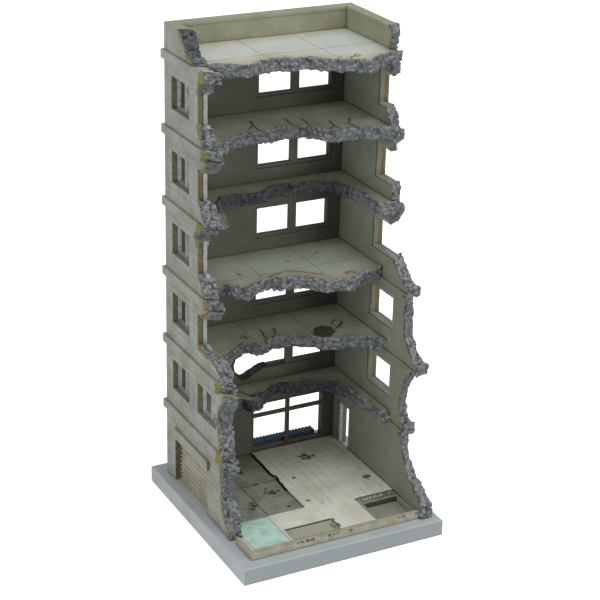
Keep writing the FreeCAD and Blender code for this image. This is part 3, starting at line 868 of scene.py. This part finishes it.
# Cracks in each storey's floor as (width, path of (place, reach) points).
CRACKS = {
    7: ((0.22, ((41.6, 36.0), (43.2, 32.4), (46.7, 29.8))), (0.16, ((43.6, 32.2), (47.2, 31.4))),
        (0.14, ((38.2, 33.6), (40.8, 31.2))), (0.14, ((25.2, 27.0), (26.6, 24.6)))),
    6: ((0.3, ((22.3, 10.8), (21.4, 15.0), (20.6, 21.0))), (0.2, ((21.4, 15.0), (18.2, 18.4))),
        (0.22, ((32.8, 12.4), (31.6, 20.4))), (0.22, ((37.6, 14.6), (36.2, 21.0))),
        (0.34, ((44.0, 20.2), (42.4, 25.0), (43.8, 29.6))), (0.2, ((42.4, 25.0), (39.4, 27.4))),
        (0.3, ((50.6, 20.0), (47.4, 24.6), (48.6, 28.8))), (0.2, ((47.4, 24.6), (45.4, 22.2)))),
    4: ((0.24, ((45.2, 31.0), (46.2, 29.4), (48.0, 29.8), (48.2, 31.6))),
        (0.12, ((23.6, 22.6), (30.2, 21.4), (34.6, 24.2), (38.6, 28.8))),
        (0.12, ((15.4, 17.0), (15.8, 18.8))), (0.12, ((33.0, 14.0), (34.4, 15.4))),
        (0.14, ((44.0, 12.4), (45.6, 11.6), (45.8, 10.6)))),
    3: ((0.26, ((19.9, 13.6), (19.4, 17.0))), (0.26, ((18.0, 14.8), (20.4, 15.6))),
        (0.32, ((26.4, 12.2), (25.2, 16.6), (24.2, 20.0))), (0.3, ((30.4, 12.6), (29.2, 17.0))),
        (0.3, ((48.6, 17.8), (49.4, 15.6), (51.8, 15.4))),
        (0.42, ((47.6, 21.0), (50.0, 19.2), (52.4, 16.8)))),
    2: ((0.4, ((21.2, 6.8), (22.6, 9.6), (24.6, 12.2), (26.8, 13.4))),
        (0.2, ((44.0, 7.0), (46.0, 9.4)))),
}
FLAKES = {3: ((39.6, 22.0), (41.2, 18.6), (44.4, 17.2), (47.2, 19.4), (46.8, 22.8), (43.4, 25.6),
              (40.2, 25.0))}
FLAKE_DEPTH = 0.3
CRACK_DEPTH = 0.55
CRACK_WIDTH = 0.7             # share of the widths above


def flake_tool(corners, height):
    """A shallow many-sided tool that lifts a flake off a floor."""
    ring = jagged([*corners, corners[0]], 77, 1.0, 0.25)[:-1]
    lower = [at(place, reach, height - FLAKE_DEPTH) for place, reach in ring]
    upper = [at(place, reach, height + CRACK_TOP) for place, reach in ring]
    count = len(ring)
    faces = [tuple(range(count)), tuple(reversed(range(count, 2 * count)))]
    faces += [(index, (index + 1) % count, count + (index + 1) % count, count + index)
              for index in range(count)]
    return lower + upper, faces


def crack_tools(cracks, height, seed):
    tools = []
    for number, (width, path) in enumerate(cracks):
        places = [at(*point, height)[:2] for point in jagged(path, seed + number)]
        tools.append(wedge(places, width * CRACK_WIDTH, CRACK_DEPTH, height))
    return tools


# -------- pieces of each storey
FLOOR_LINES = (1 / 3, 2 / 3)
CROSS_LINE = 21.0
LEFT_WINDOWS = (5.2, 17.4, 23.4, 36.2)
RIGHT_WINDOW = (24.3, 37.4)
REAR_WINDOW = (28.8, 53.9)
WINDOW_SILL = 6.0


def outer_columns(edges, start, end):
    """Tile joints between fixed edges, counted in reach from the rear face."""
    stops = [start] + [edge for edge in edges if start < edge < end] + [end]
    columns = []
    for first, last in zip(stops[:-1], stops[1:]):
        columns += divide(first, last, TILE_LENGTH)[:-1]
    return columns + [end]


SHUTTER_SEAT = 2.0            # the painted shadow on the wall behind the shutter's slots starts this far in
REAR_SKIN = 0.2               # faces this close to the rear face have the outer paint
SLAB_SKIN = 0.3               # as do a slab's faces this close to an outer face


def wall_material(face, face_axis, sign, inner):
    """The outer paint on outward faces, the inner paint inside and painted shadow behind the shutter."""
    centre = face.calc_center_median()
    if face.normal.x < -0.5 and LEFT_FACE + SHUTTER_SEAT < centre.x < LEFT_FACE + WALL:
        return CRACK
    outward = face.normal[face_axis] * sign > 0.5 or centre.y > REAR_FACE - REAR_SKIN
    return OUTSIDE if outward else inner


def wall_piece(node, body, face_axis, sign, edges, anchor, inner, seed):
    """One wall: painted inside, tiled outside, with rubble on its broken end."""
    solid = Solid(node)
    piece = Piece(node + "_shell", [inner, OUTSIDE, RUBBLE, CRACK])
    mesh = clean_mesh(node)
    cut_grid(mesh)
    points, faces = mesh_parts(mesh)
    materials = [wall_material(face, face_axis, sign, inner) for face in mesh.faces]
    mesh.free()
    piece.add(points, faces, materials, wear=break_distance(points, solid))
    size = high(node) - low(node)
    if face_axis == 0:
        stops = outer_columns(edges, 0, size[1])
        columns = sorted(REAR_FACE - reach for reach in stops)
    else:
        stops = outer_columns([edge - WALL for edge in edges], 0, size[0])
        columns = [low(node)[0] + place for place in stops]
    tiles(piece, solid, face_axis, sign, columns, anchor, OUTSIDE, seed)
    if face_axis == 0:
        start = low(node)[0]
        tiles(piece, solid, 1, 1, [start, start + WALL], anchor, OUTSIDE, seed + 5)
    if solid.broken.any():
        depth, roughness = (RUBBLE_DEPTH, RUBBLE_ROUGHNESS) if face_axis == 0 else HOLE_RUBBLE
        top = high(node)[2] + (PARAPET_CRUST_RISE if body == "roof" else -CRUST_INSET)
        crust, quads = rubble(solid, seed, depth, roughness, low(node)[2] + CRUST_INSET, top)
        piece.add(crust, quads, RUBBLE, tone=rubble_tone(crust, seed))
    piece.make(body, [node])


def slab_material(face, surface):
    """The outer paint on the bands, the floor's own on top and the inner paint below."""
    x, y = face.calc_center_median()[:2]
    if x < LEFT_FACE + SLAB_SKIN or x > RIGHT_FACE - SLAB_SKIN or y > REAR_FACE - SLAB_SKIN:
        return OUTSIDE
    return surface if face.normal.z > 0.5 else INSIDE


def slab_piece(level, body):
    """One floor: a scored surface, the bands outside and rubble along the broken front."""
    node = "roof_slab" if level == ROOF_LEVEL else f"floor_slab_{level}"
    surface = ROOF if level == ROOF_LEVEL else FLOOR
    solid = Solid(node)
    piece = Piece(node + "_shell", [surface, OUTSIDE, INSIDE, RUBBLE])
    mesh = clean_mesh(node)
    cut_grid(mesh, (0, 1))
    top = floor_top(level)
    inner_width = RIGHT_FACE - LEFT_FACE - 2 * WALL
    for share in FLOOR_LINES:
        score(mesh, 0, LEFT_FACE + WALL + inner_width * share, top)
    score(mesh, 1, REAR_FACE - CROSS_LINE, top)
    points, faces = mesh_parts(mesh)
    line = line_values(mesh)
    materials = [slab_material(face, surface) for face in mesh.faces]
    mesh.free()
    piece.add(points, faces, materials, wear=break_distance(points, solid), line=line)
    made = piece.make(body, [node])
    cracks = crack_tools(CRACKS.get(level, ()), top, 10 * level)
    if cracks:
        carve(made, cracks, CRACK)
    if level in FLAKES:
        carve(made, [flake_tool(FLAKES[level], top)], FLAKE)
    edge = Piece(node + "_rubble", [RUBBLE])
    crust, quads = rubble(solid, 100 + level, SLAB_RUBBLE_DEPTH)
    edge.add(crust, quads, RUBBLE, tone=rubble_tone(crust, 100 + level))
    edge.make(body, [])


def softened(node, body, material):
    """A clean part with slightly rounded edges."""
    piece = Piece(node + "_part", [material])
    mesh = clean_mesh(node)
    points, faces = mesh_parts(mesh)
    mesh.free()
    piece.add(points, faces, material)
    piece.make(body, [node])


def storey(level):
    body = f"storey_{level}"
    anchor = low(f"wall_rear_{level}")[2] + WINDOW_SILL
    wall_piece(f"wall_left_{level}", body, 0, -1, LEFT_WINDOWS, anchor, INSIDE, 200 + level)
    wall_piece(f"wall_right_{level}", body, 0, 1, RIGHT_WINDOW, anchor, PLASTER, 220 + level)
    wall_piece(f"wall_rear_{level}", body, 1, 1, REAR_WINDOW, anchor, REAR, 240 + level)
    slab_piece(level, body)
    for side, material in (("left_rear", FRAME), ("left_front", FRAME), ("right", RIGHT_FRAME),
                           ("rear", REAR)):
        softened(f"window_{side}_{level}", body, material)


for storey_level in range(FIRST_STOREY, LAST_STOREY + 1):
    storey(storey_level)


def roof():
    slab_piece(ROOF_LEVEL, "roof")
    anchor = low("parapet_rear")[2] + 0.1
    wall_piece("parapet_left", "roof", 0, -1, (), anchor, PARAPET, 301)
    wall_piece("parapet_right", "roof", 0, 1, (), anchor, PARAPET, 302)
    wall_piece("parapet_rear", "roof", 1, 1, (), anchor, PARAPET, 303)


roof()


# -------- the ground storey
SHUTTER_OPENING = (6.6, 30.5)
SHUTTER_HEAD = 14.3
STOREFRONT = (28.6, 54.1)
DOOR = (6.9, 13.4)
GROUND_LINES_PLACE = (30.6, 33.6, 36.7, 39.7, 42.8, 45.8, 48.9, 51.9, 55.0)
GROUND_LINES_REACH = (6.1, 9.2, 12.2, 15.3, 18.3, 21.4, 24.4, 27.5, 30.5, 33.6, 36.6, 39.7)
GARAGE_LINE_PLACE = 15.6
GARAGE_LINE_REACH = 21.8
GARAGE_DEPTH = 0.5
GARAGE_GAP = ((27.7, 3.6), (27.6, 12.0), (27.4, 19.0), (28.2, 21.0), (27.5, 24.0), (27.3, 31.0))
GARAGE_GAP_WIDTH = 0.62
# Edges as two (place, reach) points, with the height, number, sizes and seed of the lumps along them.
FLOOR_CHIPS = (
    (((2.0, 59.9), (57.0, 59.9)), KERB_TOP, 7, (0.4, 0.9), 62),
    (((17.0, 59.8), (34.0, 60.0)), KERB_TOP, 9, (0.4, 0.9), 65),
    (((31.6, 51.4), (31.8, 57.2)), TILE_TOP, 8, (0.5, 1.0), 64),
    (((44.6, 43.8), (57.2, 43.8)), TILE_TOP, 13, (0.5, 1.0), 63),
)
FLOOR_DEBRIS = (
    (((45.4, 45.3), (57.0, 44.9)), TILE_TOP - 0.3, 26, (0.4, 0.85), 66),
    (((30.6, 52.2), (30.9, 56.8)), TILE_TOP - 0.4, 9, (0.35, 0.7), 67),
)


def ground_floor():
    node = "ground_floor"
    piece = Piece(node + "_shell", [GROUND])
    mesh = clean_mesh(node)
    for place in GROUND_LINES_PLACE:
        score(mesh, 0, LEFT_FACE + place, TILE_TOP, (REAR_FACE - 43.4, REAR_FACE - 3.1), 0.08, 0.06)
    for reach in GROUND_LINES_REACH:
        score(mesh, 1, REAR_FACE - reach, TILE_TOP, (LEFT_FACE + 27.4, LEFT_FACE + 57.9), 0.1, 0.06)
    garage_top = TILE_TOP - GARAGE_DEPTH
    score(mesh, 0, LEFT_FACE + GARAGE_LINE_PLACE, garage_top)
    score(mesh, 1, REAR_FACE - GARAGE_LINE_REACH, garage_top)
    points, faces = mesh_parts(mesh)
    piece.add(points, faces, GROUND, line=line_values(mesh))
    mesh.free()
    made = piece.make("ground", [node])
    gap = [at(*point, TILE_TOP)[:2] for point in jagged(GARAGE_GAP, 61, 1.3, 0.2)]
    carve(made, [wedge(gap, GARAGE_GAP_WIDTH, 1.0, TILE_TOP)], CRACK)
    broken = []
    for edge, height, count, sizes, seed in FLOOR_CHIPS:
        broken += lumps(edge, height, count, sizes, seed)
    carve(made, broken, CHIPPED)
    debris = Piece("ground_debris", [DEBRIS])
    for edge, height, count, sizes, seed in FLOOR_DEBRIS:
        for points, faces in lumps(edge, height, count, sizes, seed):
            debris.add(points, faces, DEBRIS)
    debris.make("ground", [])


def ground_storey():
    anchor = BASE_TOP + SHUTTER_HEAD
    ground_floor()
    wall_piece("ground_wall_left", "ground", 0, -1, SHUTTER_OPENING, anchor, INSIDE, 401)
    wall_piece("ground_wall_right", "ground", 0, 1, DOOR, anchor, PLASTER, 402)
    wall_piece("ground_wall_rear", "ground", 1, 1, STOREFRONT, anchor, REAR, 403)
    for node, material, slot in (
            ("storefront_frame", BROWN_FRAME, "frame_paint"), ("side_door_frame", FRAME, "frame_paint"),
            ("roller_shutter", SHUTTER, "shutter_paint"), ("shutter_hood", TRIM, "trim_paint"),
            ("base_plate", BASE, "base_plastic"), ("shop_step", STEP, "step_paint")):
        softened(node, "ground", material)


ground_storey()


# -------- stage, light and camera
FLOOR_GLOW = (0.1, 0.75)      # of the studio floor, as the object sees it and as the camera does
AMBIENT = 0.36


def stage():
    """A pale studio floor, just below the base plate."""
    bpy.ops.mesh.primitive_plane_add(size=6.0, location=(0, 0, -0.0002))
    floor = bpy.context.object
    floor.name = "studio_floor"
    n = Nodes("studio_floor")
    shader = n.add("ShaderNodeBsdfDiffuse")
    n.put(shader.inputs["Color"], n.mix(n.noise(300.0, 2.0), (0.93,) * 3 + (1,), (0.96,) * 3 + (1,)))
    glow = n.add("ShaderNodeEmission")
    seen = n.add("ShaderNodeLightPath").outputs["Is Camera Ray"]
    n.put(glow.inputs["Strength"], n.ramp(seen, 0, 1, *FLOOR_GLOW))
    both = n.add("ShaderNodeAddShader")
    n.tree.links.new(shader.outputs[0], both.inputs[0])
    n.tree.links.new(glow.outputs[0], both.inputs[1])
    output = n.add("ShaderNodeOutputMaterial")
    n.tree.links.new(both.outputs[0], output.inputs[0])
    floor.data.materials.append(n.material)


def lamp(name, place, aim, size, power):
    data = bpy.data.lights.new(name, "AREA")
    data.size, data.energy = size, power
    lamp_object = bpy.data.objects.new(name, data)
    bpy.context.scene.collection.objects.link(lamp_object)
    lamp_object.location = place
    direction = Vector(aim) - Vector(place)
    lamp_object.rotation_euler = direction.to_track_quat("-Z", "Y").to_euler()


def light():
    world = bpy.data.worlds.new("studio")
    bpy.context.scene.world = world
    world.use_nodes = True
    background = world.node_tree.nodes["Background"]
    background.inputs["Color"].default_value = (1, 1, 1, 1)
    rays = world.node_tree.nodes.new("ShaderNodeLightPath")
    seen = world.node_tree.nodes.new("ShaderNodeMapRange")
    seen.inputs["To Min"].default_value = AMBIENT
    world.node_tree.links.new(rays.outputs["Is Camera Ray"], seen.inputs["Value"])
    world.node_tree.links.new(seen.outputs[0], background.inputs["Strength"])
    middle = (0, 0, 0.075)
    lamp("softbox_top", (0.05, -0.15, 0.75), middle, 0.6, 2.3)
    lamp("softbox_right", (0.45, -0.75, 0.35), middle, 0.6, 2.2)
    lamp("softbox_left", (-0.8, -0.3, 0.35), middle, 0.6, 2.0)
    view = bpy.context.scene.view_settings
    view.view_transform = "Standard"


CAMERA_AZIMUTH = -28.06
CAMERA_ELEVATION = 23.3
CAMERA_ROLL = 1.48
CAMERA_DISTANCE = 515.4
CAMERA_AIM = (1.94, 2.66, 69.14)
CAMERA_LENS = 103.4


def camera():
    azimuth, elevation = math.radians(CAMERA_AZIMUTH), math.radians(CAMERA_ELEVATION)
    back = Vector((math.sin(azimuth) * math.cos(elevation), -math.cos(azimuth) * math.cos(elevation),
                   math.sin(elevation)))
    right = (-back).cross(Vector((0, 0, 1))).normalized()
    up = right.cross(-back)
    turn = Matrix.Rotation(math.radians(CAMERA_ROLL), 3, back)
    right, up = turn @ right, turn @ up
    data = bpy.data.cameras.new("camera")
    data.lens = CAMERA_LENS
    data.clip_start = 0.01
    camera_object = bpy.data.objects.new("camera", data)
    bpy.context.scene.collection.objects.link(camera_object)
    basis = Matrix((right, up, back)).transposed().to_4x4()
    basis.translation = (Vector(CAMERA_AIM) + back * CAMERA_DISTANCE) * MM
    camera_object.matrix_world = basis
    bpy.context.scene.camera = camera_object


stage()
light()
camera()
